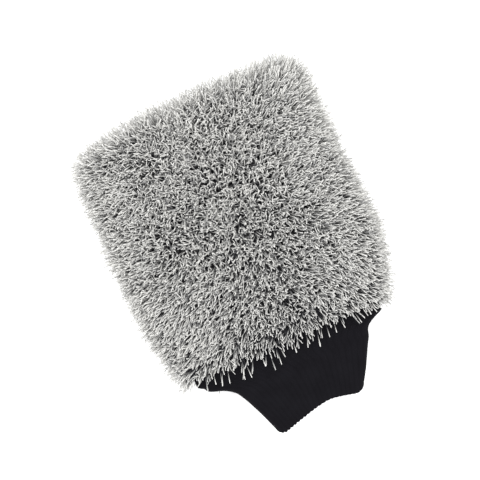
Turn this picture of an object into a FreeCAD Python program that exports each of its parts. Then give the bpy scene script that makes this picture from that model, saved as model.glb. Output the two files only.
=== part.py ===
"""A double-sided microfibre wash mitt with a rib-knit wrist cuff, lying flat on its rear pile.

Millimetres. +X is across the mitt, +Y runs to the closed end where the fingertips go, and +Z is up,
out of the front side. The origin is at the middle of the underside of the whole mitt's box.

The mitt is a bag in a bag. The outer bag is two base cloths that carry the cut pile, sewn together
round three sides at the seam plane. The inner bag is a lining. A knit cuff closes the wrist end.
"""
import FreeCAD, Part
import math
import os
from FreeCAD import Vector

# Overall size
LENGTH = 278.0              # closed end to the cuff's two lower corners
Y_TOP = LENGTH / 2          # closed end of the pile
Y_PILE_END = -80.0          # wrist end of the pile
Y_CUFF_TIP = -LENGTH / 2    # the cuff's lower corners

# Plan outline of the pile, as half widths
HALF_TOP = 100.0
HALF_WIDEST = 104.8
Y_WIDEST = 30.0
HALF_LOW = 91.0
TOP_CROWN = 2.0             # how far the closed end bows out
LOW_CROWN = 1.0
TOP_CORNER = 23.0
LOW_CORNER = 18.0
PILE_RIM = 15.0             # rounding of the front pile's upper edge
REAR_RIM = 9.0              # rounding of the rear pile's lower edge

# Thickness, from the surface that the mitt lies on
REAR_PILE = 13.0            # pressed by the mitt's own weight
FRONT_PILE = 18.0
BAG_HALF = 9.0              # half the height of the outer bag
Z_SEAM = REAR_PILE + BAG_HALF

# Base cloths and lining
PILE_OVERHANG = 9.0         # how far the pile leans out past the base cloth's edge
BACKING = 1.4
SEAM_ROOM = 3.0             # room for the turned-in seam between base cloth and lining
LINING = 0.8
LAYER_GAP = 0.3
BAG_RIM = 7.5
LINING_RIM = 5.6
LINING_MOUTH = 4.0          # how far the wrist opening is cut into the lining's near end

# Cuff: a flat tube of doubled knit, stretched wide at its base and tapering to its open end
CUFF_WALL = 2.2
CUFF_BASE_Y = Y_PILE_END + PILE_OVERHANG + BACKING + SEAM_ROOM
CUFF_BASE_HALF = 79.5       # half width where it is sewn in
CUFF_NECK_HALF = 62.5       # half width at the pile's end, if the taper ran straight on
CUFF_TAPER = 0.46           # half width lost per millimetre of length
CUFF_FLARE = 16.0           # extra half width at the pile's end
CUFF_FLARE_REACH = 6.0      # the length over which the flare dies away
CUFF_FLARE_BLEND = 1.5      # softness of the bend from the flare into the sewn base
CUFF_BASE_HEIGHT = 6.5      # half height at the base and at the tip
CUFF_TIP_HEIGHT = 5.2
CUFF_DROP = 2.0             # how far the cuff's free end droops below the seam plane
CUFF_LEVEL = 7.0            # length of the sewn base that stays level
CUFF_SECTION_COUNT = 16
CUFF_DIP = 6.5              # depth of the hollow in the cuff's open edge

# Threads
SEAM_THREAD = 0.8
SEAM_ALLOWANCE = 0.5        # from the base cloth's inner face to the seam's thread
LINING_THREAD = 0.6
OVERLOCK = 1.2              # width and height of the overlocked edge
SIDE_SEAM = 1.0
TACK = 1.2
TACK_X = 60.0
TACK_LIFT = 2.0             # height of the bars' middle above the seam plane
TACK_ROD = 27.0             # the rod that each bar is trimmed from, longer than the gap it bridges

TOUCH = 0.01                # slack for telling whether an edge lies at a given height


def sharp_outline(inset):
    """The mitt's plan outline with sharp corners, moved inwards by inset, at z = 0."""
    corners = (
        Vector(-HALF_TOP, Y_TOP - TOP_CROWN, 0),
        Vector(HALF_TOP, Y_TOP - TOP_CROWN, 0),
        Vector(HALF_LOW, Y_PILE_END + LOW_CROWN, 0),
        Vector(-HALF_LOW, Y_PILE_END + LOW_CROWN, 0),
    )
    middles = (
        Vector(0, Y_TOP, 0),
        Vector(HALF_WIDEST, Y_WIDEST, 0),
        Vector(0, Y_PILE_END, 0),
        Vector(-HALF_WIDEST, Y_WIDEST, 0),
    )
    edges = []
    for i, middle in enumerate(middles):
        edges.append(Part.Arc(corners[i], middle, corners[(i + 1) % 4]).toShape())
    face = Part.Face(Part.Wire(edges))
    return face.makeOffset2D(-inset, 2) if inset else face


def upright_edges(solid, height, near):
    """The block's two corner edges at its wrist end (near) or at its closed end."""
    upright = [e for e in solid.Edges if e.BoundBox.ZLength > height - TOUCH]
    outer = [e for e in upright if abs(e.BoundBox.Center.x) > HALF_LOW / 2]
    return [e for e in outer if (e.BoundBox.Center.y < 0) == near]


def slab(inset, height, corner_inset, rim=0.0):
    """A block of the mitt's outline, from z = 0 up, with rounded corners and a rounded upper rim."""
    solid = sharp_outline(inset).extrude(Vector(0, 0, height))
    near = upright_edges(solid, height, near=True)
    solid = solid.makeFillet(LOW_CORNER - corner_inset, near).Solids[0]
    far = upright_edges(solid, height, near=False)
    solid = solid.makeFillet(TOP_CORNER - corner_inset, far).Solids[0]
    if rim:
        top = [e for e in solid.Edges if e.BoundBox.ZMin > height - TOUCH]
        solid = solid.makeFillet(rim, top).Solids[0]
    return solid


def front(solid):
    """The block moved up onto the seam plane."""
    moved = solid.copy()
    moved.translate(Vector(0, 0, Z_SEAM))
    return moved


def rear(solid):
    """The block's mirror image, hanging down from the seam plane."""
    return front(solid.mirror(Vector(0, 0, 0), Vector(0, 0, 1)))


def stadium(half_width, half_height, y, z):
    """The outline of a flattened tube, in the plane across the mitt at y."""
    flat = half_width - half_height
    corners = (
        Vector(-flat, y, z + half_height),
        Vector(flat, y, z + half_height),
        Vector(flat, y, z - half_height),
        Vector(-flat, y, z - half_height),
    )
    return Part.Wire([
        Part.LineSegment(corners[0], corners[1]).toShape(),
        Part.Arc(corners[1], Vector(half_width, y, z), corners[2]).toShape(),
        Part.LineSegment(corners[2], corners[3]).toShape(),
        Part.Arc(corners[3], Vector(-half_width, y, z), corners[0]).toShape(),
    ])


def cuff_section(y):
    """Half width, half height and middle height of the cuff at y."""
    out = Y_PILE_END - y
    tapered = CUFF_NECK_HALF - CUFF_TAPER * out + CUFF_FLARE * math.exp(-out / CUFF_FLARE_REACH)
    spare = (CUFF_BASE_HALF - tapered) / CUFF_FLARE_BLEND
    half_width = CUFF_BASE_HALF - CUFF_FLARE_BLEND * math.log1p(math.exp(spare))
    along = (CUFF_BASE_Y - y) / (CUFF_BASE_Y - Y_CUFF_TIP)
    half_height = CUFF_BASE_HEIGHT + (CUFF_TIP_HEIGHT - CUFF_BASE_HEIGHT) * along
    hanging = max(0.0, CUFF_BASE_Y - CUFF_LEVEL - y) / (CUFF_BASE_Y - CUFF_LEVEL - Y_CUFF_TIP)
    return half_width, half_height, Z_SEAM - CUFF_DROP * hanging * hanging


def cuff_stations():
    """Evenly spaced places along the cuff, from its base to its tip."""
    step = (Y_CUFF_TIP - CUFF_BASE_Y) / (CUFF_SECTION_COUNT - 1)
    return [CUFF_BASE_Y + i * step for i in range(CUFF_SECTION_COUNT)]


def cuff_tube(inset):
    """The block inside the cuff's outer face, moved inwards by inset, from the cuff's base to its tip."""
    wires = []
    for y in cuff_stations():
        half_width, half_height, z = cuff_section(y)
        wires.append(stadium(half_width - inset, half_height - inset, y, z))
    return Part.makeLoft(wires, True, False)


def open_edge():
    """The upright cylinder that hollows the cuff's open edge between its two lower corners."""
    chord = cuff_section(Y_CUFF_TIP)[0] - CUFF_WALL / 2
    radius = (chord ** 2 + CUFF_DIP ** 2) / (2 * CUFF_DIP)
    centre = Vector(0, Y_CUFF_TIP + CUFF_DIP - radius, 0)
    return Part.makeCylinder(radius, 2 * Z_SEAM, centre)


def rib_cuff():
    """The knit tube, turned double at its free edge, as one wall."""
    return cuff_tube(0).cut(cuff_tube(CUFF_WALL)).cut(open_edge())


def cuff_side_seam():
    """The ridge of thread along the cuff's right-hand fold, inside the tube."""
    wires = []
    for y in cuff_stations():
        half_width, half_height, middle = cuff_section(y)
        x = half_width - CUFF_WALL - SIDE_SEAM - LAYER_GAP
        z = middle - SIDE_SEAM / 2
        points = [
            Vector(x, y, z),
            Vector(x + SIDE_SEAM, y, z),
            Vector(x + SIDE_SEAM, y, z + SIDE_SEAM),
            Vector(x, y, z + SIDE_SEAM),
        ]
        wires.append(Part.makePolygon(points + [points[0]]))
    return Part.makeLoft(wires, True, False).cut(open_edge())


def wrist_opening(room, y_low, y_high):
    """A prism of the cuff base's own section, larger all round by room, about z = 0."""
    half_width = CUFF_BASE_HALF + room
    face = Part.Face(stadium(half_width, CUFF_BASE_HEIGHT + room, y_low, 0))
    return face.extrude(Vector(0, y_high - y_low, 0))


def cuff_seam():
    """The overlocked edge that goes round the cuff's base, just outside the base cloths."""
    y_high = CUFF_BASE_Y - SEAM_ROOM
    y_low = y_high - OVERLOCK
    return front(wrist_opening(OVERLOCK, y_low, y_high).cut(wrist_opening(0, y_low, y_high)))


def pile(depth, rim):
    """The pile on one side: a thick pad that also wraps the bag's edge, open at the wrist."""
    pad = slab(0, BAG_HALF + depth, 0, rim)
    bag = slab(PILE_OVERHANG, BAG_HALF, PILE_OVERHANG, BAG_RIM)
    wrist = wrist_opening(OVERLOCK + LAYER_GAP, Y_PILE_END - PILE_OVERHANG, CUFF_BASE_Y + LAYER_GAP)
    return pad.cut(bag).cut(wrist)


def backing():
    """One base cloth: a shallow tray whose rim is the seam, cut away at the wrist."""
    outer = slab(PILE_OVERHANG, BAG_HALF, PILE_OVERHANG, BAG_RIM)
    edge = PILE_OVERHANG + BACKING
    inner = slab(edge, BAG_HALF - BACKING, edge, BAG_RIM - BACKING)
    return outer.cut(inner).cut(wrist_opening(LAYER_GAP, Y_PILE_END, CUFF_BASE_Y))


def lining_outer():
    """The room that one half of the lining takes up, pocket included."""
    inset = PILE_OVERHANG + BACKING + SEAM_ROOM
    return slab(inset, BAG_HALF - BACKING - LAYER_GAP, inset - BACKING, LINING_RIM)


def lining():
    """One half of the lining: a shallow tray, open at the wrist where it meets the cuff."""
    inset = PILE_OVERHANG + BACKING + SEAM_ROOM + LINING
    height = BAG_HALF - BACKING - LAYER_GAP - LINING
    inner = slab(inset, height, inset - BACKING, LINING_RIM - LINING)
    wrist = wrist_opening(-CUFF_WALL, CUFF_BASE_Y - LINING, CUFF_BASE_Y + LINING_MOUTH)
    return lining_outer().cut(inner).cut(wrist)


def wrist_band():
    """Everything beside the wrist opening, where the closed sides' stitching ends."""
    corner = Vector(-HALF_WIDEST, Y_PILE_END, 0)
    return Part.makeBox(2 * HALF_WIDEST, CUFF_BASE_Y + SEAM_ROOM - Y_PILE_END, 2 * Z_SEAM, corner)


def edge_thread(inset, width):
    """A line of stitching at the seam plane round the three closed sides."""
    outer = slab(inset, width, inset - BACKING)
    inner = slab(inset + width, width, inset + width - BACKING)
    ring = outer.cut(inner)
    ring.translate(Vector(0, 0, Z_SEAM - width / 2))
    return ring.cut(wrist_band())


def lining_tacks():
    """Two bars of thread from the lining's far edge to the base cloth's."""
    edge = PILE_OVERHANG + BACKING
    room = front(slab(edge, BAG_HALF - BACKING, edge, BAG_RIM - BACKING))
    room = room.cut(front(lining_outer()))
    bars = []
    for x in (-TACK_X, TACK_X):
        foot = Vector(x, Y_TOP - TACK_ROD, Z_SEAM + TACK_LIFT)
        bar = Part.makeCylinder(TACK / 2, TACK_ROD, foot, Vector(0, 1, 0))
        bars.append(bar.common(room))
    return Part.makeCompound(bars)


def nodes():
    """Every piece of the mitt, by name."""
    backing_room = PILE_OVERHANG + BACKING
    return {
        "front_pile": front(pile(FRONT_PILE, PILE_RIM)),
        "rear_pile": rear(pile(REAR_PILE, REAR_RIM)),
        "front_backing": front(backing()),
        "rear_backing": rear(backing()),
        "front_lining": front(lining()),
        "rear_lining": rear(lining()),
        "rib_cuff": rib_cuff(),
        "perimeter_seam": edge_thread(backing_room + SEAM_ALLOWANCE, SEAM_THREAD),
        "lining_seam": edge_thread(backing_room + SEAM_ROOM - LAYER_GAP - LINING_THREAD, LINING_THREAD),
        "cuff_seam": cuff_seam(),
        "cuff_side_seam": cuff_side_seam(),
        "lining_tacks": lining_tacks(),
    }


def main():
    os.makedirs("parts", exist_ok=True)
    for name, shape in nodes().items():
        size = shape.BoundBox
        print(
            f"{name}: valid {shape.isValid()}, {len(shape.Solids)} solid(s), {shape.Volume:.0f} mm3,"
            f" x {size.XMin:.1f}..{size.XMax:.1f}, y {size.YMin:.1f}..{size.YMax:.1f},"
            f" z {size.ZMin:.1f}..{size.ZMax:.1f}"
        )
        shape.exportStep(f"parts/{name}.step")


main()
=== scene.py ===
"""The looks of a double-sided microfibre wash mitt with a rib-knit cuff, built round its CAD frame.

Metres. +X is across the mitt, +Y runs to its closed end, and +Z is up out of its front side. Each side
is a base cloth that carries thousands of cut yarns. A lining hangs inside, and the cuff is a knit tube
turned double. The yarns, stitches and cloths are all real meshes.
"""
import math

import bpy
import numpy as np
from mathutils import Matrix, Vector
from mathutils.bvhtree import BVHTree


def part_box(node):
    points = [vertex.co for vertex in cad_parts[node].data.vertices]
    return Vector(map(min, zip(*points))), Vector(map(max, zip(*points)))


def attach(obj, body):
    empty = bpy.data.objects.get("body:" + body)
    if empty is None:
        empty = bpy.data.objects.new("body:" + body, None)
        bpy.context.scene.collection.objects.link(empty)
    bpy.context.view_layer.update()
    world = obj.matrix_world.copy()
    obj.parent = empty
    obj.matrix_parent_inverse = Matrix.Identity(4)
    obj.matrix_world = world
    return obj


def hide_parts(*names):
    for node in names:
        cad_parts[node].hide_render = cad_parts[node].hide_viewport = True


MM = 0.001
SEED = 11

# Outline of the bag, seen from above
OUTLINE_POWER = 16.0  # a higher power makes squarer corners
OUTLINE_POINTS = 480
OUTLINE_SAMPLES = 20001  # of the fine curve that those points are spaced along
SIDE_SLACK = 3.1 * MM  # how far inside the CAD outline the long sides lie
LOW_NARROWING = 10.3 * MM  # half width lost from the widest place to the wrist end
WIDEST_SHARE = 0.36  # where along the bag it is widest
LEFT_DROOP = 10.5 * MM  # the closed end's left corner hangs lower than its middle
RIGHT_DROOP = 1.0 * MM  # and so does its right one, a little
LEFT_DROOP_FROM = 0.2  # the share of the half width at which each droop starts
RIGHT_DROOP_FROM = 0.4
WRIST_LEFT_DROOP = 8.0 * MM  # the two corners at the wrist reach this much further down
WRIST_RIGHT_DROOP = 6.5 * MM
WRIST_DROOP_FROM = 0.6
BAG_BEND = 3.2 * MM  # the closed end lies this far to the left
LEFT_BULGE = 1.8 * MM  # how far the two long sides swell out
RIGHT_BULGE = 4.0 * MM
LEFT_BULGE_SHARE = 0.40  # where along the bag that is, and over what share of it
RIGHT_BULGE_SHARE = 0.30
BULGE_REACH = 0.16

# The bag's rim, where front and rear curve down to the seam, and the flat inside it
RIM_INSET = 12 * MM
RIM_SAMPLES = 60
RIM_STEPS = 9
MIDDLE_STEPS = 16
BAG_RINGS = RIM_STEPS + MIDDLE_STEPS
CROWN = 1.5 * MM  # how much the flat is domed

# Cloths
BACKING = 1.4 * MM
LINING = 0.8 * MM
SEAM_ROOM = 3.0 * MM
LAYER_GAP = 0.3 * MM

# Inflating the bag
REMESH = 5 * MM
CLOTH_QUALITY = 5
CLOTH_MASS = 0.2
CLOTH_STIFFNESS = 12
CLOTH_BENDING = 0.6
CLOTH_FRAMES = 20
PRESSURE = 4.0
PUFF_LIMIT = 2.5 * MM
PUFF_SIDEWAYS = 0.3  # share of the skin's sideways growth that cloth and yarns follow

# Where the yarns stand
YARN_SPACING = 1.64 * MM
YARN_JITTER = 0.40
ROOT_CLEARANCE = 0.2 * MM  # how far above the base cloth's edge the lowest yarns stand
SEARCH_PARTS = 40  # parts in which the outline's nearest places are looked up
RIM_REACH = 2.2  # how far in the rim's look reaches, in lengths of the rim's curve
WRIST_THINNING = 0.28  # share of the yarns that are missing near the wrist
PILE_PARTS = 8

# How the pile is combed. Places along the bag run from -1 at the wrist to 1 at the closed end.
COMB_LOW = 15 * MM  # right of the middle, where the pile parts to the two sides near the wrist
COMB_HIGH = -9 * MM  # and near the closed end
COMB_CHANGE = (0.1, -0.5)  # over which the one turns into the other
COMB_ASIDE = 1.35  # how strongly it leans to the sides
COMB_DOWN = 0.62  # to the wrist, and over what part of the bag that comes in
COMB_DOWN_OVER = (0.05, -0.55)
COMB_UP = 0.65  # and to the closed end
COMB_UP_OVER = (0.6, 1.0)
COMB_LAST = 0.45  # and how much more the last rows lean to the wrist
LAST_ROWS = 0.8  # where along the bag, both ways, its last rows start
RIM_COMB_LOSS = 0.45  # share of the combing that is lost at the rim
LEAN_WAVES = ((0.05, 10 * MM), (0.10, 60 * MM))  # strength and length of the waves in its lean
LEAN_CHANCE = 0.34  # how much each yarn differs
YARN_SAG = 0.12  # how much they all hang, and how much they stand up at the rim
RIM_LIFT = 0.10
STRAY_SHARE = 0.008  # share of the yarns that lie across the others
STRAY_LONGER = 0.2

# The yarns' lengths
FRONT_LENGTH = 17.5 * MM
REAR_LENGTH = 15.5 * MM
RIM_LENGTH = 11.2 * MM
LENGTH_CHANCE = 0.08
LENGTH_WAVE = 0.04
LENGTH_WAVELENGTH = 30 * MM
WRIST_LONGER = 0.25  # share by which the last rows of yarns are longer, on the left
END_LONGER = 0.14  # and those at the closed end

# The fringe: some yarns of the rows next to the cuff hang over it
FRINGE_REACH = 4 * MM  # how far up from the edge those rows go
FRINGE_ROOM = 2 * MM  # that edge is looked for this far inside the cuff's two shoulders
FRINGE_ENDS = 10 * MM  # and the fringe ends this far inside them
FRINGE_PITCH = 3.5 * MM
FRINGE_LENGTH = 20.5 * MM
FRINGE_DOWN = 2.6  # how strongly they lean to the wrist, and to the left, on the left part
FRINGE_ASIDE = 0.8
FRINGE_TURN = 2.1  # how much further right they lean at the right end
FRINGE_TURN_OVER = (25 * MM, 57 * MM)
FRINGE_SPREAD = 0.55
FRINGE_TAPER = 0.12  # share by which they are longer at the left end and shorter at the right
FRINGE_CORNER = 18 * MM  # within this much of the two shoulders they are shorter
FRINGE_CORNER_SHARE = 0.74

# One yarn
YARN_RADIUS = 0.34 * MM
YARN_FLATNESS = 0.8
YARN_SIDES = 5
YARN_STEPS = (0.0, 0.22, 0.42, 0.58, 0.73, 0.88, 1.0)
YARN_PROFILE = (0.92, 0.94, 0.96, 1.00, 1.10, 1.30, 1.10)  # its thickness at those steps
CLUB_PROFILE = (0.0, 0.0, 0.0, 0.0, 0.10, 0.50, 0.45)  # and what a splayed tip adds
YARN_SINK = 0.6 * MM  # how deep it starts in the base cloth
YARN_CURL = 0.55
YARN_KINK = 0.30
ROOT_LEAN = 0.45  # share of its lean at the root, and what it gains to the tip
LEAN_GAIN = 0.85
FLOOR_SOFTNESS = 4 * MM  # how far above the floor, or the cuff, it starts to give way
CUFF_SOFTNESS = 1.5 * MM
YARN_SHADES = 32  # rows of the shade chart
ROW_FILL = 0.9  # part of its row that a yarn takes up
TIP_START = 0.98  # where along its row the tip's cap starts
YARN_TWISTS = 7.0

# Where along the shade chart the roots start, and so how much painted shade low in the yarn each one
# skips: painted light near the rim, at the right and at both ends
PAINTED_LIGHT_START = -0.11
PAINTED_LIGHT_RIM = 0.60
PAINTED_LIGHT_RIGHT = 0.05
PAINTED_LIGHT_UP = 0.07
PAINTED_LIGHT_ENDS = 0.18
PAINTED_SHADE_WRIST = -0.25  # and more painted shade near the wrist

# Cuff, as in the CAD
CUFF_WALL = 2.2 * MM
CUFF_NECK_HALF = 62.5 * MM
CUFF_TAPER = 0.46
CUFF_FLARE = 16.0 * MM
CUFF_FLARE_REACH = 6.0 * MM
CUFF_FLARE_BLEND = 1.5 * MM
CUFF_BASE_HALF = 79.5 * MM
CUFF_BASE_HEIGHT = 6.5 * MM
CUFF_TIP_HEIGHT = 5.2 * MM
CUFF_LEVEL = 7.0 * MM
CUFF_DROP = 4.0 * MM  # a little more than in the CAD

# How the cuff lies, and its knit
CUFF_BASE_SHIFT = -1.3 * MM  # how far right of the bag's middle the cuff's base lies
CUFF_SHIFT = 3.2 * MM  # and its neck
CUFF_SHIFT_OVER = (0.26, 0.42)  # share of its length over which it changes
CUFF_RETURN = 0.6  # share of that shift which is lost again at the tip
CUFF_RIBS = 46
CUFF_RIB_POINTS = 10
CUFF_STEPS = 64
FOLD_STEPS = 8
RIB_RELIEF = 0.34 * MM
RIB_ROUNDNESS = 0.8
CUFF_WAVE = 0.5 * MM  # height of its gentle waves
RIB_STRETCHED = 0.35  # share of the ribs' relief left where the knit is stretched most
SCALLOP = 1.0 * MM  # how much further the hem's edge reaches on a rib than between two
LEFT_HORN = 6.5 * MM  # how round the cuff's two corners are
RIGHT_HORN = 7.5 * MM
HEM_SLOPE = 6.3 * MM  # how much shorter the cuff lies at its right corner than at its left
HEM_DIP = 8.0 * MM  # how far the hem is pulled up between its corners
HEM_PEAK = 0.23  # where across the hem that pull is
HEM_BLEND = 0.16  # and how round the hem is there
LEFT_LOBE = 5.5 * MM  # how far the cuff's left shoulder bulges out, where, and along what length
LOBE_Y = -85.3 * MM
LOBE_REACH = 3.0 * MM
STITCHES_PER_RIB = 4.0
KNIT_COURSES = 150.0

# Stitches
THREAD_SIDES = 5
STITCH_STEPS = 7
LOOP_STEPS = 8  # to each turn of a wound thread
STITCH_SHARE = 0.8  # part of each stitch's pitch that its thread covers
PERIMETER_STITCHES = (BACKING + 0.9 * MM, 0.4 * MM, 3.0 * MM)  # inset, radius and pitch
LINING_STITCHES = (BACKING + 2.4 * MM, 0.3 * MM, 2.6 * MM)
SIDE_RADIUS = 0.32 * MM
SIDE_PITCH = 2.4 * MM
SIDE_DEPTH = 0.7 * MM  # how far inside the tube's inner face the side seam lies
SIDE_LIFT = 0.35 * MM
SIDE_SPAN = (0.02, 0.95)  # from where to where along the cuff it runs
OVERLOCK_RADIUS = 0.28 * MM
OVERLOCK_LOOPS = 150
OVERLOCK_GAP = 0.6 * MM  # how far it stands off the cuff
OVERLOCK_OUT = 0.5 * MM  # half the height of its loops
OVERLOCK_ALONG = 0.9 * MM  # half their width, and how far above the bag's edge their middle is
OVERLOCK_UP = 0.7 * MM
TACK_RADIUS = 0.22 * MM
TACK_TURNS = 6
TACK_COIL = 0.45 * MM  # radius of the wound thread's coil
TACK_INSET = 0.6 * MM  # how far its axis lies inside its CAD node's two sides
TACK_END = 0.3 * MM  # and its ends inside the other two

# The two plain cloths: dark and light colour, noise scale and bump
BASE_LOOK = ((0.012, 0.012, 0.016), (0.030, 0.030, 0.036), 900.0, 0.3 * MM)
LINING_LOOK = ((0.030, 0.030, 0.034), (0.055, 0.055, 0.060), 1200.0, 0.1 * MM)

# Studio, in metres and watts
FLOOR_HALF = 3.0
FLOOR_SQUARES = 12
FLOOR_GAP = 0.2 * MM
SKY_STRENGTH = 1.7
LIGHT_SIZE = 0.9
LIGHTS = (("key", (-0.4, 0.5, 1.3), 11.0), ("fill", (0.6, -0.4, 1.3), 7.0))
CAMERA_TURN = 23.3  # degrees
CAMERA_DISTANCE = 1.5
CAMERA_AIM = (-3.5 * MM, 15.3 * MM)
VIEW_WIDTH = 0.3795  # what the picture spans at the seam
SENSOR = 36  # millimetres

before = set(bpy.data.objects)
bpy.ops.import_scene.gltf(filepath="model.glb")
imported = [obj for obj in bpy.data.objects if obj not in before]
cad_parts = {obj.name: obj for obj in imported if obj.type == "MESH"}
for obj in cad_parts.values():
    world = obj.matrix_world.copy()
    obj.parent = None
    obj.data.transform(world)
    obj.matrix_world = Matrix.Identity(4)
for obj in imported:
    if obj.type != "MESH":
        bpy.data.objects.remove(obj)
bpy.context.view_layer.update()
rng = np.random.default_rng(SEED)

pile_low, pile_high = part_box("front_pile")
cuff_low, cuff_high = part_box("rib_cuff")
bag_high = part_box("front_backing")[1]
OVERHANG = pile_high.x - bag_high.x
SEAM_Z = pile_low.z
PILE_END_Y = pile_low.y
BAG_HALF = bag_high.z - SEAM_Z
BAG_HALF_WIDTH = bag_high.x
BAG_Y_LOW = pile_low.y + OVERHANG
BAG_Y_HIGH = bag_high.y
BAG_MIDDLE_Y = (BAG_Y_LOW + BAG_Y_HIGH) / 2
BAG_HALF_LENGTH = (BAG_Y_HIGH - BAG_Y_LOW) / 2
CUFF_BASE_Y = cuff_high.y
CUFF_TIP_Y = cuff_low.y


# ------- small helpers


def unit(vectors):
    """Each row, made one long."""
    return vectors / np.maximum(np.linalg.norm(vectors, axis=-1, keepdims=True), 1e-12)


def between(value, start, end):
    """How far the value is on its way from start to end, held within 0 and 1."""
    return np.clip((value - start) / (end - start), 0, 1)


def smooth_between(value, start, end):
    """The same, but setting off and arriving gently."""
    share = between(value, start, end)
    return share * share * (3 - 2 * share)


def arc_length(x, y):
    """The length along a plane curve, up to each point."""
    return np.concatenate([[0], np.cumsum(np.hypot(np.diff(x), np.diff(y)))])


def add_object(name, data):
    """A new object in the scene that shows the data."""
    made = bpy.data.objects.new(name, data)
    bpy.context.scene.collection.objects.link(made)
    return made


def make_mesh(name, points, faces, uvs=None):
    """A new object from arrays: points (n, 3), faces a list of (m, corners) arrays, uvs (corners, 2)."""
    mesh = bpy.data.meshes.new(name)
    corners = np.concatenate([f.ravel() for f in faces]).astype(np.int32)
    counts = np.concatenate([np.full(len(f), f.shape[1]) for f in faces])
    starts = (np.cumsum(counts) - counts).astype(np.int32)
    mesh.vertices.add(len(points))
    mesh.vertices.foreach_set("co", np.asarray(points, np.float32).ravel())
    mesh.loops.add(len(corners))
    mesh.loops.foreach_set("vertex_index", corners)
    mesh.polygons.add(len(counts))
    mesh.polygons.foreach_set("loop_start", starts)
    if uvs is not None:
        layer = mesh.uv_layers.new(name="OFBake")
        layer.data.foreach_set("uv", np.asarray(uvs, np.float32).ravel())
    mesh.update(calc_edges=True)
    mesh.validate()
    mesh.shade_smooth()
    return add_object(name, mesh)


def grid_faces(rows, columns, wrap_rows=False, wrap_columns=True):
    """Quads over a grid of points that is numbered row by row."""
    row_ends = np.arange(rows if wrap_rows else rows - 1)
    column_ends = np.arange(columns if wrap_columns else columns - 1)
    i, j = np.meshgrid(row_ends, column_ends, indexing="ij")
    i, j = i.ravel(), j.ravel()
    next_i, next_j = (i + 1) % rows, (j + 1) % columns
    here, below = i * columns, next_i * columns
    return np.stack([here + j, here + next_j, below + next_j, below + j], 1)


def repeated(faces, count, block):
    """The faces of one block of points, for each of so many blocks."""
    return (faces + np.arange(count)[:, None, None] * block).reshape(-1, faces.shape[1])


def corner_uvs(us, vs):
    """UVs of faces, from one array of u and one of v for each of their corners."""
    return np.stack([np.stack(us, 1), np.stack(vs, 1)], 2)


def threads(name, paths, radius):
    """Round threads along several paths, given as an array (paths, steps, 3), as one piece."""
    count, steps = paths.shape[:2]
    along = unit(np.gradient(paths, axis=1))
    steady = np.where(np.abs(along[..., 2:3]) < 0.8, [0.0, 0.0, 1.0], [1.0, 0.0, 0.0])
    side = unit(np.cross(along, steady))
    up = np.cross(side, along)
    angle = np.arange(THREAD_SIDES) * 2 * math.pi / THREAD_SIDES
    ring = side[:, :, None] * np.cos(angle)[:, None] + up[:, :, None] * np.sin(angle)[:, None]
    points = (paths[:, :, None] + radius * ring).reshape(-1, 3)
    block = steps * THREAD_SIDES
    quads = grid_faces(steps, THREAD_SIDES)[:, ::-1]
    corners = np.arange(THREAD_SIDES)
    caps = np.stack([corners, corners[::-1] + block - THREAD_SIDES])
    return make_mesh(name, points, [repeated(quads, count, block), repeated(caps, count, block)])


def smooth_noise(points, wavelength, waves=14):
    """A smooth random number for each point, about one in size."""
    angle = rng.uniform(0, 2 * math.pi, waves)
    phase = rng.uniform(0, 2 * math.pi, waves)
    pace = 2 * math.pi / (wavelength * rng.uniform(0.7, 1.5, waves))
    across = np.stack([np.cos(angle) * pace, np.sin(angle) * pace])
    return np.cos(points[:, :2] @ across + phase).sum(1) * math.sqrt(2 / waves)


def noise_vector(points, wavelength):
    """A smooth random direction in the plane for each point."""
    flat = [smooth_noise(points, wavelength), smooth_noise(points, wavelength)]
    return np.stack(flat + [np.zeros(len(points))], 1)


# ------- the bag


def side_half_width(y):
    """Half width of the bag at y, between its rounded corners."""
    widest = BAG_Y_LOW + WIDEST_SHARE * (BAG_Y_HIGH - BAG_Y_LOW)
    return BAG_HALF_WIDTH - SIDE_SLACK - LOW_NARROWING * between(y, widest, BAG_Y_LOW) ** 2


def bag_outline():
    """Evenly spaced points round the bag's seam, and their outward normals, in the plane."""
    angle = np.linspace(0, 2 * math.pi, OUTLINE_SAMPLES)
    c, s = np.cos(angle), np.sin(angle)
    y = BAG_MIDDLE_Y + BAG_HALF_LENGTH * np.sign(s) * np.abs(s) ** (2 / OUTLINE_POWER)
    x = side_half_width(y) * np.sign(c) * np.abs(c) ** (2 / OUTLINE_POWER)
    across = x / BAG_HALF_WIDTH
    to_left = between(across, -LEFT_DROOP_FROM, -1)
    to_right = between(across, RIGHT_DROOP_FROM, 1)
    far = between(y, BAG_MIDDLE_Y, BAG_Y_HIGH)
    y = y - far ** 4 * (LEFT_DROOP * to_left ** 1.2 + RIGHT_DROOP * to_right ** 1.5)
    near = between(y, BAG_MIDDLE_Y, BAG_Y_LOW)
    corner = between(np.abs(across), WRIST_DROOP_FROM, 1)
    droop = np.where(x < 0, WRIST_LEFT_DROOP * corner ** 1.2, WRIST_RIGHT_DROOP * corner ** 2)
    y = y - droop * near ** 4
    share = between(y, BAG_Y_LOW, BAG_Y_HIGH)
    centre = np.where(x > 0, RIGHT_BULGE_SHARE, LEFT_BULGE_SHARE)
    bulge = np.where(x > 0, RIGHT_BULGE, -LEFT_BULGE) * np.exp(-((share - centre) / BULGE_REACH) ** 2)
    x = x - BAG_BEND * share * (2 - share) + bulge
    length = arc_length(x, y)
    even = np.linspace(0, length[-1], OUTLINE_POINTS, endpoint=False)
    points = np.stack([np.interp(even, length, x), np.interp(even, length, y)], 1)
    along = unit(np.roll(points, -1, 0) - np.roll(points, 1, 0))
    return points, np.stack([along[:, 1], -along[:, 0]], 1)


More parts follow.
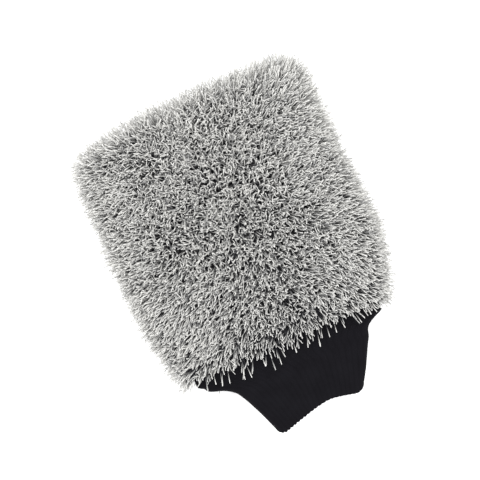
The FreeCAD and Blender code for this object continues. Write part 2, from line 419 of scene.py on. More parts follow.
def rim_profile(inset, height):
    """Arc length, inset, height and slope angle along a quarter ellipse from the seam to the flat."""
    angle = np.linspace(0, math.pi / 2, RIM_SAMPLES)
    inward, up = inset * (1 - np.cos(angle)), height * np.sin(angle)
    lean = np.arctan2(inset * np.sin(angle), height * np.cos(angle))
    return arc_length(inward, up), inward, up, lean


outline, outline_out = bag_outline()
rim_length, rim_inward, rim_up, rim_lean = rim_profile(RIM_INSET, BAG_HALF)


def wrist_floor(points):
    """How high above the seam plane the base cloth's edge sits: on the cuff at the wrist, else 0."""
    half_height = CUFF_BASE_HEIGHT + LAYER_GAP
    near = np.abs(points[:, 0] - cuff_shift(0)) - (CUFF_BASE_HALF - half_height)
    rise = half_height * np.sqrt(1 - between(near, 0, half_height) ** 2)
    return np.where(points[:, 1] < BAG_Y_LOW + 2 * RIM_INSET, rise, 0)


def on_bag(points):
    """Each point's place on the bag, from -1 to 1 across it and from -1 to 1 along it."""
    return points[:, 0] / BAG_HALF_WIDTH, (points[:, 1] - BAG_MIDDLE_Y) / BAG_HALF_LENGTH


def crown(points):
    """The gentle doming of the bag's flat."""
    x, y = on_bag(points)
    return CROWN * np.clip(1 - x ** 2, 0, 1) * np.clip(1 - y ** 2, 0, 1)


def bag_rings(inset, height, side, floor=True):
    """Rings of points over one side of the bag, from its seam edge to its middle, shrunk by inset."""
    length, inward, up = rim_profile(RIM_INSET - inset / 2, height)[:3]
    edge = outline - outline_out * inset
    lowest = wrist_floor(edge) * (height / BAG_HALF) if floor else np.zeros(len(edge))
    start = np.interp(lowest, up, length)
    rings = []
    for i in range(RIM_STEPS + 1):
        at = start + (length[-1] - start) * i / RIM_STEPS
        plan = edge - outline_out * np.interp(at, length, inward)[:, None]
        rings.append(np.column_stack([plan, np.interp(at, length, up)]))
    last = rings[-1]
    centre = np.array([0, BAG_MIDDLE_Y, last[0, 2]])
    for i in range(1, MIDDLE_STEPS):
        rings.append(centre + (last - centre) * (1 - i / MIDDLE_STEPS))
    points = np.concatenate(rings)
    points[:, 2] = SEAM_Z + side * (points[:, 2] + crown(points) * (points[:, 2] / height))
    return points


def closed_shell(name, outer, inner, turned=False):
    """A mesh of two layers of bag rings, joined at their edges, each closed in its middle."""
    offset = len(outer)
    ring = np.arange(OUTLINE_POINTS)
    following = np.roll(ring, -1)
    last = offset - OUTLINE_POINTS
    middle = np.full(OUTLINE_POINTS, 2 * offset)
    layer = grid_faces(BAG_RINGS, OUTLINE_POINTS)
    join = np.stack([ring + offset, following + offset, following, ring], 1)
    fan = np.stack([last + ring, last + following, middle], 1)
    inner_fan = np.stack([last + following + offset, last + ring + offset, middle + 1], 1)
    faces = [layer, layer[:, ::-1] + offset, join, fan, inner_fan]
    if turned:
        faces = [f[:, ::-1] for f in faces]
    middles = [outer[last:].mean(0), inner[last:].mean(0)]
    return make_mesh(name, np.concatenate([outer, inner, middles]), faces)


def bag_pillow():
    """The whole bag as one closed skin, to be inflated."""
    front, rear = (bag_rings(0, BAG_HALF, side, floor=False) for side in (1, -1))
    return closed_shell("pillow", front, rear)


def inflated(pillow):
    """The pillow's skin, pushed open a little by cloth simulation, as a tree to find nearest points on."""
    remesh = pillow.modifiers.new("remesh", "REMESH")
    remesh.mode = "VOXEL"
    remesh.voxel_size = REMESH
    depsgraph = bpy.context.evaluated_depsgraph_get()
    mesh = bpy.data.meshes.new_from_object(pillow.evaluated_get(depsgraph))
    bag = add_object("inflating", mesh)
    bpy.data.objects.remove(pillow)
    before = np.array([v.co for v in mesh.vertices])
    held = bag.vertex_groups.new(name="held")
    at_wrist = np.flatnonzero(before[:, 1] < BAG_Y_LOW + RIM_INSET)
    held.add([int(i) for i in at_wrist], 1.0, "REPLACE")
    cloth = bag.modifiers.new("cloth", "CLOTH")
    settings = cloth.settings
    settings.quality = CLOTH_QUALITY
    settings.mass = CLOTH_MASS
    settings.tension_stiffness = CLOTH_STIFFNESS
    settings.compression_stiffness = CLOTH_STIFFNESS
    settings.bending_stiffness = CLOTH_BENDING
    settings.use_pressure = True
    settings.uniform_pressure_force = PRESSURE
    settings.vertex_group_mass = "held"
    settings.effector_weights.gravity = 0
    cloth.point_cache.frame_end = CLOTH_FRAMES
    for step in range(1, CLOTH_FRAMES + 1):
        bpy.context.scene.frame_set(step)
    depsgraph = bpy.context.evaluated_depsgraph_get()
    done = bag.evaluated_get(depsgraph).to_mesh()
    moved = np.array([v.co for v in done.vertices]) - before
    far = np.linalg.norm(moved, axis=1, keepdims=True)
    after = before + moved * np.minimum(1, PUFF_LIMIT / np.maximum(far, 1e-9))
    faces = [tuple(p.vertices) for p in mesh.polygons]
    tree = BVHTree.FromPolygons([Vector(p) for p in after], faces)
    bpy.data.objects.remove(bag)
    bpy.context.scene.frame_set(1)
    return tree


def fitted(points, normals, skin):
    """The points moved to the inflated skin, mostly up and down, with normals between old and new."""
    found = [skin.find_nearest(Vector(p)) for p in points]
    shift = np.array([f[0] for f in found]) - points
    turned = np.array([f[1] for f in found])
    return points + shift * [PUFF_SIDEWAYS, PUFF_SIDEWAYS, 1], unit(normals + turned)


def cloth_side(name, side, inset, height, thick, skin=None):
    """One side of a bag as a closed shell of cloth, fitted to the inflated skin if there is one."""
    outer = bag_rings(inset, height, side)
    inner = bag_rings(inset + thick, height - thick, side)
    if skin is not None:
        free = between(outer[:, 1], BAG_Y_LOW, BAG_Y_LOW + 3 * RIM_INSET)[:, None]
        shift = (fitted(outer, np.zeros(outer.shape), skin)[0] - outer) * free
        outer, inner = outer + shift, inner + shift
    return closed_shell(name, outer, inner, turned=side < 0)


# ------- the pile


def yarn_roots(side, skin):
    """Where the yarns of one side stand: places, outward normals, and how near the rim each one is.

    They are fitted to the inflated skin if there is one.
    """
    wide = outline + outline_out * (rim_length[-1] - RIM_INSET)
    reach = np.abs(wide).max(0) + YARN_SPACING
    rows = np.arange(-reach[1], reach[1], YARN_SPACING * math.sqrt(3) / 2)
    columns = np.arange(-reach[0], reach[0], YARN_SPACING)
    grid_y, grid_x = np.meshgrid(rows, columns, indexing="ij")
    grid_x = grid_x + (np.arange(len(rows)) % 2)[:, None] * YARN_SPACING / 2
    plan = np.column_stack([grid_x.ravel(), grid_y.ravel()])
    plan = plan + rng.uniform(-YARN_JITTER, YARN_JITTER, plan.shape) * YARN_SPACING
    parts = np.array_split(plan, SEARCH_PARTS)
    nearest = np.concatenate([np.argmin(((p[:, None] - wide) ** 2).sum(2), 1) for p in parts])
    away = plan - wide[nearest]
    inside = -(away * outline_out[nearest]).sum(1)
    keep = inside > 0
    plan, nearest, away, inside = (a[keep] for a in (plan, nearest, away, inside))
    along = np.stack([-outline_out[nearest, 1], outline_out[nearest, 0]], 1)
    slide = along * (away * along).sum(1, keepdims=True)
    on_rim = inside < rim_length[-1]
    foot = outline[nearest] - outline_out[nearest] * np.interp(inside, rim_length, rim_inward)[:, None]
    plan = np.where(on_rim[:, None], foot + slide, plan)
    height = np.interp(inside, rim_length, rim_up)
    tilt = np.interp(inside, rim_length, rim_lean)
    normals = np.column_stack([outline_out[nearest] * np.cos(tilt)[:, None], side * np.sin(tilt)])
    points = np.column_stack([plan, SEAM_Z + side * (height + crown(plan))])
    keep = height >= wrist_floor(outline[nearest]) + ROOT_CLEARANCE
    points, normals, inside = (a[keep] for a in (points, unit(normals), inside))
    if skin is not None:
        points, normals = fitted(points, normals, skin)
    return points, normals, between(inside, RIM_REACH * rim_length[-1], 0)


def combed(points):
    """How the pile is combed: to both sides of its parting, and down to the wrist in its lower half."""
    x, y = on_bag(points)
    low = smooth_between(y, *COMB_CHANGE)
    x = x - (COMB_HIGH + (COMB_LOW - COMB_HIGH) * low) / BAG_HALF_WIDTH
    aside = COMB_ASIDE * (np.abs(x) ** 1.5 * (1 - low) + np.abs(x) ** 0.8 * low)
    down = COMB_DOWN * between(y, *COMB_DOWN_OVER) ** 0.7
    down += COMB_LAST * between(y, -LAST_ROWS, -1) * (1 - 0.5 * x ** 2)
    up = COMB_UP * between(y, *COMB_UP_OVER)
    return np.column_stack([np.sign(x) * aside, up - down, np.zeros(len(x))])


def rest_on(heights, floor, soft):
    """Heights bent up softly, so that none is below the floor."""
    above = heights - floor
    return floor + np.where(above > soft, above, soft * np.exp(np.minimum(above / soft - 1, 0)))


def yarn_lines(points, normals, lean, lengths, side, curliness):
    """Each yarn's centre line, as (yarns, steps, 3), bent by its lean and held off floor and cuff."""
    curl = rng.normal(0, YARN_CURL, (len(points), 3)) * curliness[:, None]
    kink = rng.normal(0, YARN_KINK, (len(points), 3)) * curliness[:, None]
    line = [points - normals * YARN_SINK]
    for start, end in zip(YARN_STEPS[:-1], YARN_STEPS[1:]):
        middle = (start + end) / 2
        bend = curl * middle ** 1.3 + kink * math.sin(2 * math.pi * middle)
        heading = unit(normals + lean * (ROOT_LEAN + LEAN_GAIN * middle) + bend)
        line.append(line[-1] + heading * (lengths * (end - start))[:, None])
    line = np.stack(line, 1)
    x, y, z = np.moveaxis(line, 2, 0)
    z[:] = rest_on(z, 1.6 * YARN_RADIUS, FLOOR_SOFTNESS)
    half_width, half_height, middle = cuff_section(y)
    over = (y < BAG_Y_LOW) & (np.abs(x - CUFF_SHIFT) < half_width + 1 * MM)
    clear = half_height + 1.2 * YARN_RADIUS
    z[:] = np.where(over, middle + side * rest_on(side * (z - middle), clear, CUFF_SOFTNESS), z)
    return line


def yarn_mesh(name, line, radii, club, tone_and_painted_light_rows, painted_light):
    """A mesh of yarns. Each one's UV is its own row of the shade chart, from root to tip along u.

    club is how much its tip is splayed, from 0 to 1, and the last argument is where on the chart its root
    starts: painted light where it starts further along, painted shade where it starts lower.
    """
    count, steps = line.shape[:2]
    along = unit(np.gradient(line, axis=1))
    steady = unit(rng.normal(0, 1, (count, 1, 3)))
    side = unit(np.cross(along, steady))
    up = np.cross(side, along)
    turn = rng.uniform(0, 2 * math.pi, (count, 1, 1))
    angle = turn + np.arange(YARN_SIDES) * 2 * math.pi / YARN_SIDES
    profile = np.array(YARN_PROFILE) + club[:, None] * np.array(CLUB_PROFILE)
    size = (radii[:, None] * profile)[:, :, None, None]
    ring = side[:, :, None] * np.cos(angle)[..., None]
    ring = ring + YARN_FLATNESS * up[:, :, None] * np.sin(angle)[..., None]
    rings = line[:, :, None] + size * ring
    tip = line[:, -1] + along[:, -1] * (radii * 0.7)[:, None]
    block = steps * YARN_SIDES + 1
    points = np.concatenate([rings.reshape(count, -1, 3), tip[:, None]], 1).reshape(-1, 3)
    quads = grid_faces(steps, YARN_SIDES)
    edge = np.arange(YARN_SIDES) + (steps - 1) * YARN_SIDES
    fan = np.stack([edge, np.roll(edge, -1), np.full(YARN_SIDES, block - 1)], 1)
    faces = [repeated(quads, count, block), repeated(fan, count, block)]
    u = np.array(YARN_STEPS) * TIP_START
    column = np.arange(YARN_SIDES + 1) / YARN_SIDES
    i, j = np.divmod(np.arange(len(quads)), YARN_SIDES)
    across = [column[j], column[j + 1], column[j + 1], column[j]]
    quad_uv = corner_uvs([u[i], u[i], u[i + 1], u[i + 1]], across)
    end = np.full(YARN_SIDES, u[-1])
    across = [column[:-1], column[1:], (column[:-1] + column[1:]) / 2]
    fan_uv = corner_uvs([end, end, np.ones(YARN_SIDES)], across)
    painted_light, tone_and_painted_light_rows = painted_light[:, None, None], tone_and_painted_light_rows[:, None, None]
    uvs = []
    for part in (quad_uv, fan_uv):
        u = np.clip(painted_light + (1 - painted_light) * part[..., 0], 0, 1)
        v = (tone_and_painted_light_rows + 0.5 + ROW_FILL * (part[..., 1] - 0.5)) / YARN_SHADES
        uvs.append(np.stack([u, v], -1).reshape(-1, 2))
    return make_mesh(name, points, faces, np.concatenate(uvs))


def fringe(points):
    """Which yarns hang over the cuff, one in each short stretch of its base, and how long they are."""
    aside = np.abs(points[:, 0] - cuff_shift(0))
    edge = points[aside < CUFF_BASE_HALF - FRINGE_ROOM, 1].min()
    rows = np.flatnonzero((points[:, 1] < edge + FRINGE_REACH) & (aside < CUFF_BASE_HALF - FRINGE_ENDS))
    first = np.unique(np.floor(points[rows, 0] / FRINGE_PITCH), return_index=True)[1]
    hanging = np.zeros(len(points))
    hanging[rows[first]] = 1
    share = 1 - FRINGE_TAPER * points[:, 0] / CUFF_NECK_HALF
    share = np.where(aside > CUFF_BASE_HALF - FRINGE_CORNER, FRINGE_CORNER_SHARE, share)
    return hanging, FRINGE_LENGTH * share


def yarn_leans(points, rim, comb, hanging, side):
    """Which way each yarn leans, and which ones are strays."""
    count = len(points)
    lean = comb * (1 - RIM_COMB_LOSS * rim)[:, None]
    for strength, wavelength in LEAN_WAVES:
        lean += strength * noise_vector(points, wavelength)
    lean += rng.normal(0, LEAN_CHANCE, (count, 3)) * [1, 1, 0.5]
    lean[:, 2] += side * RIM_LIFT * rim - YARN_SAG
    stray = rng.uniform(0, 1, count) < STRAY_SHARE
    lean += stray[:, None] * rng.normal(0, 1.0, (count, 3)) * [1, 1, 0]
    turned = between(points[:, 0], *FRINGE_TURN_OVER)
    aside = FRINGE_TURN * turned - FRINGE_ASIDE + rng.normal(0, FRINGE_SPREAD, count)
    hang = np.column_stack([aside, np.full(count, -FRINGE_DOWN), lean[:, 2]])
    return lean + hanging[:, None] * (hang - lean), stray


def yarn_lengths(points, rim, hanging, hanging_length, stray, length):
    """How long each yarn is, from the length of its side of the mitt."""
    count = len(points)
    x, y = on_bag(points)
    size = length + (RIM_LENGTH - length) * rim
    size = size + (hanging_length * rng.uniform(0.86, 1, count) - size) * hanging
    spread = LENGTH_CHANCE * (1 + 1.8 * rim) * (1 - 0.4 * hanging)
    lengths = size * np.clip(1 + rng.normal(0, 1, count) * spread, 0.6, 1.18 + 0.2 * rim)
    at_wrist = between(y, -LAST_ROWS, -1) * (1 - hanging) * np.clip(0.6 - x, 0, 1)
    lengths *= 1 + WRIST_LONGER * at_wrist + END_LONGER * between(y, LAST_ROWS, 1)
    lengths *= 1 + STRAY_LONGER * stray * (1 - rim)
    return lengths * (1 + LENGTH_WAVE * smooth_noise(points, LENGTH_WAVELENGTH))


def painted_light_starts(x, y, to_wrist):
    """How far along the shade chart each yarn's root starts: painted light where it starts further along,
    painted shade where it starts lower.
    """
    lit = np.clip(np.hypot(np.abs(x + 0.03) ** 1.6, np.clip(y, 0, 1) ** 2), 0, 1)
    painted_light = PAINTED_LIGHT_START + PAINTED_LIGHT_RIM * lit ** 0.8 + PAINTED_LIGHT_RIGHT * x + PAINTED_LIGHT_UP * y + PAINTED_LIGHT_ENDS * y ** 2
    return painted_light + PAINTED_SHADE_WRIST * to_wrist * (1 - 0.35 * x ** 2)


def pile_side(name, side, skin, length):
    """All the yarns of one side, in a few pieces that lie next to each other along the mitt."""
    points, normals, rim = yarn_roots(side, skin)
    x, y = on_bag(points)
    to_wrist = np.clip(-y, 0, 1) ** 1.8
    keep = rng.uniform(0, 1, len(points)) > WRIST_THINNING * to_wrist * (1 - x ** 2)
    points, normals, rim, x, y, to_wrist = (a[keep] for a in (points, normals, rim, x, y, to_wrist))
    comb = combed(points)
    hanging, hanging_length = fringe(points)
    lean, stray = yarn_leans(points, rim, comb, hanging, side)
    lengths = yarn_lengths(points, rim, hanging, hanging_length, stray, length)
    curliness = 1 - 0.25 * np.clip(np.linalg.norm(comb, axis=1), 0, 1)
    curliness = curliness * (1 + 0.25 * to_wrist * (1 - x ** 2)) * (1 - 0.5 * hanging)
    line = yarn_lines(points, normals, lean, lengths, side, curliness)
    radii = YARN_RADIUS * np.clip(rng.normal(1, 0.12, len(points)), 0.7, 1.35) * (1 - 0.2 * rim)
    # Rows of the shade chart: tone that differs at random, and paler rows on the rim as painted light;
    # strays take paler rows too.
    tone_and_painted_light_rows = 0.85 * rng.uniform(0, 1, len(points)) ** 0.85 + 0.149 * np.maximum(rim, stray)
    tone_and_painted_light_rows = np.floor(YARN_SHADES * tone_and_painted_light_rows).astype(int)
    # Painted light and painted shade at the yarns' roots, by where they stand on the bag.
    painted_light = painted_light_starts(x, y, to_wrist)
    pieces = []
    for i, part in enumerate(np.array_split(np.argsort(points[:, 1]), PILE_PARTS)):
        looks = (a[part] for a in (line, radii, hanging, tone_and_painted_light_rows, painted_light))
        pieces.append(yarn_mesh(f"{name}_{i + 1}", *looks))
    return pieces


# ------- the cuff


def cuff_y(v):
    """The place along the mitt of v, which runs from 0 at the cuff's base to 1 at its tip."""
    return CUFF_BASE_Y + (CUFF_TIP_Y - CUFF_BASE_Y) * v


def cuff_section(y):
    """Half width, half height and middle height of the cuff at y. The clips only prevent overflow."""
    out = PILE_END_Y - y
    flare = CUFF_FLARE * np.exp(np.minimum(-out / CUFF_FLARE_REACH, 4))
    tapered = CUFF_NECK_HALF - CUFF_TAPER * out + flare
    spare = np.clip((CUFF_BASE_HALF - tapered) / CUFF_FLARE_BLEND, -60, 60)
    half_width = CUFF_BASE_HALF - CUFF_FLARE_BLEND * np.log1p(np.exp(spare))
    along = between(y, CUFF_BASE_Y, CUFF_TIP_Y)
    half_height = CUFF_BASE_HEIGHT + (CUFF_TIP_HEIGHT - CUFF_BASE_HEIGHT) * along
    hanging = between(y, CUFF_BASE_Y - CUFF_LEVEL, CUFF_TIP_Y)
    return half_width, half_height, SEAM_Z - CUFF_DROP * hanging ** 2


CUFF_TIP_HALF = cuff_section(CUFF_TIP_Y)[0]


def stadium(half_width, half_height, share):
    """Points and normals at even shares round a flattened tube, as x and z about its middle."""
    flat = half_width - half_height
    half_lap = 2 * flat + math.pi * half_height
    lap, into = np.divmod(share % 1 * 2 * half_lap, half_lap)
    sign = 1 - 2 * lap
    angle = math.pi / 2 - np.maximum(into - 2 * flat, 0) / half_height
    nx, nz = sign * np.cos(angle), sign * np.sin(angle)
    x = sign * (np.minimum(into, 2 * flat) - flat) + half_height * nx
    return x, half_height * nz, nx, nz


def cuff_shift(v):
    """How far right of the bag's middle the cuff's middle lies, from base to tip."""
    neck = smooth_between(v, *CUFF_SHIFT_OVER)
    tip = between(v, 0.5, 1) ** 2
    return CUFF_BASE_SHIFT + (CUFF_SHIFT - CUFF_BASE_SHIFT) * neck - CUFF_RETURN * CUFF_SHIFT * tip


def hem_lift(across, half_width):
    """How far up from its longest point the hem lies: two slopes that meet, and two round corners."""
    aside = np.maximum((HEM_PEAK - across) / (1 + HEM_PEAK), (across - HEM_PEAK) / (1 - HEM_PEAK))
    fall = (np.hypot(aside, HEM_BLEND) - HEM_BLEND) / (math.hypot(1, HEM_BLEND) - HEM_BLEND)
    horn = np.where(across > 0, RIGHT_HORN, LEFT_HORN)
    corner = between(np.abs(across) * half_width, half_width - horn, half_width)
    rounding = horn * (1 - np.sqrt(1 - 0.97 * corner ** 2))
    return HEM_SLOPE * (1 + across) / 2 + HEM_DIP * (1 - fall) + rounding


def rib_wave(around):
    """1 on the crest of each rib and 0 between two ribs, at shares of the way round the cuff."""
    return np.abs(np.cos(math.pi * CUFF_RIBS * around)) ** RIB_ROUNDNESS


def cuff_ring(v, depth, around, relief):
    """One ring of the cuff at v from base to tip, depth below its outer face, with its ribs."""
    y = cuff_y(v)
    half_width, half_height, middle = cuff_section(y)
    x, z, nx, nz = stadium(half_width - depth, half_height - depth, around)
    across = x / half_width
    relaxed = RIB_STRETCHED + (1 - RIB_STRETCHED) * between(half_width, CUFF_BASE_HALF, CUFF_TIP_HALF)
    bump = relief * relaxed * (rib_wave(around) - 0.6)
    x, z = x + nx * bump, z + nz * bump
    sag = CUFF_WAVE * np.sin(2.3 * across + 4 * v) * math.sin(math.pi * v)
    sag += CUFF_WAVE / 2 * np.sin(9 * across + 6 * v)
    y = y + hem_lift(across, half_width) * v ** 3
    lobe = LEFT_LOBE * np.exp(-((y - LOBE_Y) / LOBE_REACH) ** 2) * np.clip(-across, 0, 1) ** 3
    x = x * cuff_section(y)[0] / half_width - lobe
    return np.column_stack([x + cuff_shift(v), y, middle + z + sag * v])


def rib_cuff():
    """The doubled knit tube: down the outside, round the fold and back up the inside, with its ribs."""
    columns = CUFF_RIBS * CUFF_RIB_POINTS
    around = (np.arange(columns) + 0.5) / columns
    rings = [cuff_ring(v, 0, around, RIB_RELIEF) for v in np.linspace(0, 1, CUFF_STEPS)]
    fold = CUFF_WALL / 2
    for turn in np.linspace(0, math.pi, FOLD_STEPS)[1:-1]:
        ring = cuff_ring(1, fold * (1 - math.cos(turn)), around, RIB_RELIEF * math.cos(turn))
        ring[:, 1] -= (fold + SCALLOP * (rib_wave(around) - 0.5)) * math.sin(turn)
        rings.append(ring)
    rings += [cuff_ring(v, CUFF_WALL, around, -RIB_RELIEF) for v in np.linspace(1, 0, CUFF_STEPS)]
    rows = len(rings)
    faces = grid_faces(rows, columns, wrap_rows=True)
    i, j = np.divmod(np.arange(len(faces)), columns)
    u0, u1, v0, v1 = j / columns, (j + 1) / columns, i / rows, (i + 1) / rows
    uvs = corner_uvs([u0, u1, u1, u0], [v0, v0, v1, v1])
    return make_mesh("rib_cuff_knit", np.concatenate(rings), [faces], uvs.reshape(-1, 2))


# ------- stitches


def stitches(name, starts, ends, lift, radius):
    """Short threads that rise out of the cloth by lift, run over it and dive back in."""
    share = np.linspace(0, 1, STITCH_STEPS)[None, :, None]
    bow = np.sin(math.pi * share) ** 0.5
    paths = starts[:, None] + (ends - starts)[:, None] * share + np.array(lift) * bow
    return threads(name, paths, radius)


def edge_stitches(name, inset, radius, pitch):
    """A line of stitches at the seam plane round the three closed sides."""
    edge = outline - outline_out * inset
    closed = np.concatenate([edge, edge[:1]])
    length = arc_length(*closed.T)
    begin = np.arange(0, length[-1] - pitch, pitch)
    here, there = (
        np.column_stack([*(np.interp(at, length, axis) for axis in closed.T), np.full(len(at), SEAM_Z)])
        for at in (begin, begin + STITCH_SHARE * pitch)
    )
    keep = np.minimum(here[:, 1], there[:, 1]) > BAG_Y_LOW + RIM_INSET
    return stitches(name, here[keep], there[keep], (0, 0, 1.2 * radius), radius)


def overlock(name):
    """Thread looped over the turned edge where the cuff meets the base cloths."""
    share = np.linspace(0, 1, OVERLOCK_LOOPS * LOOP_STEPS, endpoint=False)
    half_width, half_height, middle = cuff_section(BAG_Y_LOW)
    x, z, nx, nz = stadium(half_width + OVERLOCK_GAP, half_height + OVERLOCK_GAP, share)
    turn = 2 * math.pi * OVERLOCK_LOOPS * share
    out = OVERLOCK_OUT * np.cos(turn)
    path = np.column_stack([
        x + nx * out + cuff_shift(0),
        BAG_Y_LOW + OVERLOCK_UP + OVERLOCK_ALONG * np.sin(turn),
        middle + z + nz * out,
    ])
    return threads(name, np.concatenate([path, path[:1]])[None], OVERLOCK_RADIUS)


def right_fold(v):
    """The point at v on the right-hand fold of the cuff, just inside the tube's inner face."""
    half_width, half_height = cuff_section(cuff_y(v))[:2]
    depth = CUFF_WALL + SIDE_DEPTH
    flat, bend = half_width - half_height, math.pi * (half_height - depth)
    share = (2 * flat + bend / 2) / (4 * flat + 2 * bend)
    return cuff_ring(v, depth, np.array([share]), 0)[0]


def side_seam(name):
    """Stitches along the cuff's right-hand fold, on the inside of the tube."""
    pitch = SIDE_PITCH / (CUFF_BASE_Y - CUFF_TIP_Y)
    begin = np.arange(*SIDE_SPAN, pitch)
    here = np.array([right_fold(v) for v in begin])
    there = np.array([right_fold(v + STITCH_SHARE * pitch) for v in begin])
    return stitches(name, here, there, (-SIDE_LIFT, 0, 0), SIDE_RADIUS)


def tack_bars(name):
    """Two short bars of wound thread that hold the lining's far edge to the base cloths."""
    low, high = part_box("lining_tacks")
    share = np.linspace(0, 1, TACK_TURNS * LOOP_STEPS + 1)
    turn = 2 * math.pi * TACK_TURNS * share
    paths = []
    for x in (low.x + TACK_INSET, high.x - TACK_INSET):
        paths.append(np.column_stack([
            x + TACK_COIL * np.cos(turn),
            low.y + TACK_END + (high.y - low.y - 2 * TACK_END) * share,
            (low.z + high.z) / 2 + TACK_COIL * np.sin(turn),
        ]))
    return threads(name, np.array(paths), TACK_RADIUS)


# ------- materials


class Nodes:
    """A short way to add shader nodes to one material."""

    def __init__(self, name):
        self.material = bpy.data.materials.new(name)
        self.material.use_nodes = True
        self.tree = self.material.node_tree
        self.shader = self.tree.nodes["Principled BSDF"]

    def add(self, kind, **settings):
        node = self.tree.nodes.new(kind)
        for key, value in settings.items():
            setattr(node, key, value)
        return node

    def put(self, socket, value):
        if isinstance(value, bpy.types.NodeSocket):
            self.tree.links.new(value, socket)
        else:
            socket.default_value = value

    def math(self, operation, *values):
        node = self.add("ShaderNodeMath", operation=operation)
        for socket, value in zip(node.inputs, values):
            self.put(socket, value)
        return node.outputs[0]

    def times(self, first, second):
        return self.math("MULTIPLY", first, second)

    def arches(self, value, pace, wave="SINE"):
        """The size of the wave of value times pace: a row of round arches."""
        return self.math("ABSOLUTE", self.math(wave, self.times(value, pace)))

    def ramp(self, value, *stops):
        """A colour ramp over stops, each (place, grey) or (place, (r, g, b))."""
        node = self.add("ShaderNodeValToRGB")
        elements = node.color_ramp.elements
        while len(elements) < len(stops):
            elements.new(0.5)
        for element, (place, colour) in zip(elements, stops):
            colour = colour if isinstance(colour, tuple) else (colour, colour, colour)
            element.position = place
            element.color = (*colour, 1)
        self.put(node.inputs[0], value)
        return node.outputs[0]

    def tinted(self, first, second):
        """One colour times another."""
        node = self.add("ShaderNodeMix", data_type="RGBA", blend_type="MULTIPLY")
        for place, value in ((0, 1.0), (6, first), (7, second)):
            self.put(node.inputs[place], value)
        return node.outputs[2]

    def noise(self, scale):
        node = self.add("ShaderNodeTexNoise")
        node.inputs["Scale"].default_value = scale
        node.inputs["Detail"].default_value = 3.0
        self.put(node.inputs["Vector"], self.add("ShaderNodeTexCoord").outputs["Object"])
        return node.outputs[0]

    def uv(self):
        """The two parts of the piece's own UV."""
        both = self.add("ShaderNodeUVMap", uv_map="OFBake").outputs[0]
        parts = self.add("ShaderNodeSeparateXYZ")
        self.put(parts.inputs[0], both)
        return parts.outputs[0], parts.outputs[1]

    def bump(self, height, distance, strength=1.0):
        node = self.add("ShaderNodeBump")
        node.inputs["Strength"].default_value = strength
        node.inputs["Distance"].default_value = distance
        self.put(node.inputs["Height"], height)
        self.put(self.shader.inputs["Normal"], node.outputs[0])

    def finish(self, colour, roughness, specular, sheen=0.0):
        self.put(self.shader.inputs["Base Color"], colour)
        self.shader.inputs["Roughness"].default_value = roughness
        self.shader.inputs["Sheen Weight"].default_value = sheen
        self.shader.inputs["Sheen Roughness"].default_value = 0.5
        self.shader.inputs["Specular IOR Level"].default_value = specular
        return self.material


def yarn_material():
    """Cut microfibre yarn: painted shade low down in the pile, paling to its own colour at its frayed tip,
    and painted shade in the grooves between its two plies.
    """
    m = Nodes("pile_yarn")
    along, row = m.uv()
    shade = m.ramp(
        row,
        (0.0, (0.07, 0.07, 0.075)),
        (0.09, 0.15),
        (0.18, (0.36, 0.36, 0.355)),
        (0.32, (0.545, 0.541, 0.525)),
        (0.85, (0.592, 0.588, 0.566)),
        (1.0, (0.635, 0.63, 0.607)),
    )
    # Painted shade: dark low in the pile, where shade falls between the yarns, paling to the yarn's own
    # colour at the tip.
    depth = m.ramp(
        along,
        (0.0, (0.03, 0.03, 0.04)),
        (0.50, (0.038, 0.038, 0.050)),
        (0.67, 0.50),
        (0.82, 0.85),
        (0.97, 1.0),
    )
    across = m.math("FRACT", m.times(row, float(YARN_SHADES)))
    twist = m.math("ADD", m.times(along, YARN_TWISTS), m.times(across, 2.0))
    # Painted shade in the grooves between the yarn's two plies.
    painted_groove_shade = m.ramp(m.arches(twist, math.pi), (0.0, 0.50), (0.40, 1.0))
    return m.finish(m.tinted(m.tinted(shade, depth), painted_groove_shade), 0.85, specular=0.2, sheen=0.15)


def cloth_material(name, dark, light, scale, bump):
    """Plain knitted cloth, seen mostly in shadow."""
    m = Nodes(name)
    colour = m.ramp(m.noise(scale), (0.35, dark), (0.65, light))
    m.bump(m.noise(scale * 3), bump)
    return m.finish(colour, 0.9, specular=0.2, sheen=0.1)


def rib_material():
    """Black rib knit: columns of small V stitches, with painted shade between the ribs and between the
    stitches.
    """
    m = Nodes("rib_knit")
    u, v = m.uv()
    column = m.times(u, CUFF_RIBS * STITCHES_PER_RIB)
    skew = m.times(m.math("PINGPONG", column, 1.0), 0.6)
    course = m.math("ADD", m.times(v, KNIT_COURSES), skew)
    loops = m.math("POWER", m.arches(course, math.pi), 0.6)
    wales = m.math("POWER", m.arches(column, math.pi / 2), 0.5)
    height = m.times(loops, wales)
    crest = m.arches(u, CUFF_RIBS * math.pi, "COSINE")
    base = m.ramp(m.noise(90.0), (0.3, (0.0045, 0.0042, 0.0056)), (0.7, (0.0058, 0.0055, 0.0072)))
    # Painted shade: darker in the hollows between ribs and between stitch loops.
    shade = m.ramp(m.times(m.math("ADD", height, crest), 0.35), (0.0, 0.72), (0.7, 0.95))
    m.bump(height, 0.15 * MM, 0.6)
    return m.finish(m.tinted(base, shade), 0.95, specular=0.06)


def thread_material():
    """Black sewing thread with a slight shine."""
    m = Nodes("sewing_thread")
    colour = m.ramp(m.noise(700.0), (0.3, (0.010, 0.010, 0.012)), (0.7, (0.022, 0.022, 0.025)))
    return m.finish(colour, 0.55, specular=0.4)


def floor_material():
    """A plain pale studio floor."""
    m = Nodes("studio_floor")
    colour = m.ramp(m.noise(1.5), (0.4, 0.96), (0.6, 0.98))
    return m.finish(colour, 0.9, specular=0.1)


# ------- putting it together


def dress(piece, material, slot, *nodes):
    """The piece gets its material, rides with the mitt, and stands for its CAD nodes; its slot is not
    used.
    """
    piece.data.materials.append(material)
    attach(piece, "root")
    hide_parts(*nodes)


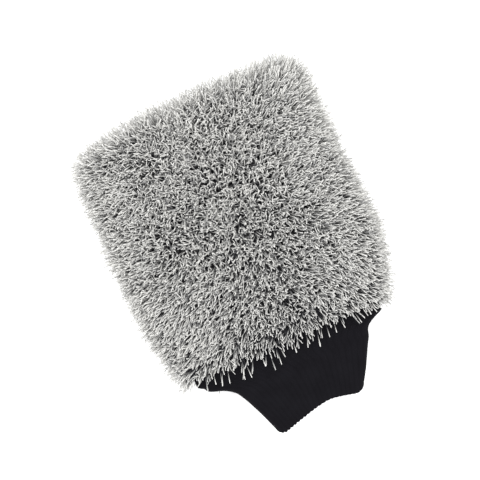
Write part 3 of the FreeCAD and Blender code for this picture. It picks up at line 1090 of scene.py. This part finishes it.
def build_mitt():
    """Both sides with their yarns, base cloths and linings, then the cuff and all the stitching."""
    skin = inflated(bag_pillow())
    yarn = yarn_material()
    base_cloth = cloth_material("base_cloth", *BASE_LOOK)
    lining_cloth = cloth_material("lining_cloth", *LINING_LOOK)
    for name, side, length in (("front", 1, FRONT_LENGTH), ("rear", -1, REAR_LENGTH)):
        yarns = pile_side(f"{name}_yarns", side, skin, length)
        for piece in yarns:
            dress(piece, yarn, "pile_yarn", f"{name}_pile")
        cloth = cloth_side(f"{name}_base_cloth", side, 0, BAG_HALF, BACKING, skin)
        dress(cloth, base_cloth, "base_cloth", f"{name}_backing")
        inset = BACKING + SEAM_ROOM
        height = BAG_HALF - BACKING - LAYER_GAP
        lining = cloth_side(f"{name}_lining_cloth", side, inset, height, LINING)
        dress(lining, lining_cloth, "lining_cloth", f"{name}_lining")
    cuff = rib_cuff()
    dress(cuff, rib_material(), "rib_knit", "rib_cuff")
    thread = thread_material()
    for piece, node in (
        (edge_stitches("perimeter_stitches", *PERIMETER_STITCHES), "perimeter_seam"),
        (edge_stitches("lining_stitches", *LINING_STITCHES), "lining_seam"),
        (overlock("cuff_overlock"), "cuff_seam"),
        (side_seam("cuff_side_stitches"), "cuff_side_seam"),
        (tack_bars("lining_tack_bars"), "lining_tacks"),
    ):
        dress(piece, thread, "sewing_thread", node)


def build_floor():
    """A pale floor just below the mitt."""
    across = np.linspace(-FLOOR_HALF, FLOOR_HALF, FLOOR_SQUARES + 1)
    y, x = np.meshgrid(across, across, indexing="ij")
    points = np.column_stack([x.ravel(), y.ravel(), np.full(x.size, -FLOOR_GAP)])
    faces = grid_faces(FLOOR_SQUARES + 1, FLOOR_SQUARES + 1, wrap_columns=False)
    floor = make_mesh("floor", points, [faces])
    floor.data.materials.append(floor_material())


def build_lights():
    """An even white sky, and soft square lights that shine on the origin."""
    world = bpy.data.worlds.new("studio")
    bpy.context.scene.world = world
    world.use_nodes = True
    sky = world.node_tree.nodes["Background"]
    sky.inputs["Color"].default_value = (1, 1, 1, 1)
    sky.inputs["Strength"].default_value = SKY_STRENGTH
    for name, place, power in LIGHTS:
        light = bpy.data.lights.new(name, "AREA")
        light.shape = "SQUARE"
        light.size = LIGHT_SIZE
        light.energy = power
        turned = Vector(place).to_track_quat("Z", "Y").to_matrix().to_4x4()
        add_object(name, light).matrix_world = Matrix.Translation(place) @ turned


def build_camera():
    """Straight above, turned so that the closed end points up and to the left."""
    camera = add_object("camera", bpy.data.cameras.new("camera"))
    place = Matrix.Translation((*CAMERA_AIM, SEAM_Z + CAMERA_DISTANCE))
    camera.matrix_world = place @ Matrix.Rotation(-math.radians(CAMERA_TURN), 4, "Z")
    camera.data.sensor_width = SENSOR
    camera.data.lens = SENSOR * CAMERA_DISTANCE / VIEW_WIDTH
    camera.data.clip_end = 20
    bpy.context.scene.camera = camera


build_mitt()
build_floor()
build_lights()
build_camera()
bpy.context.scene.view_settings.view_transform = "Standard"
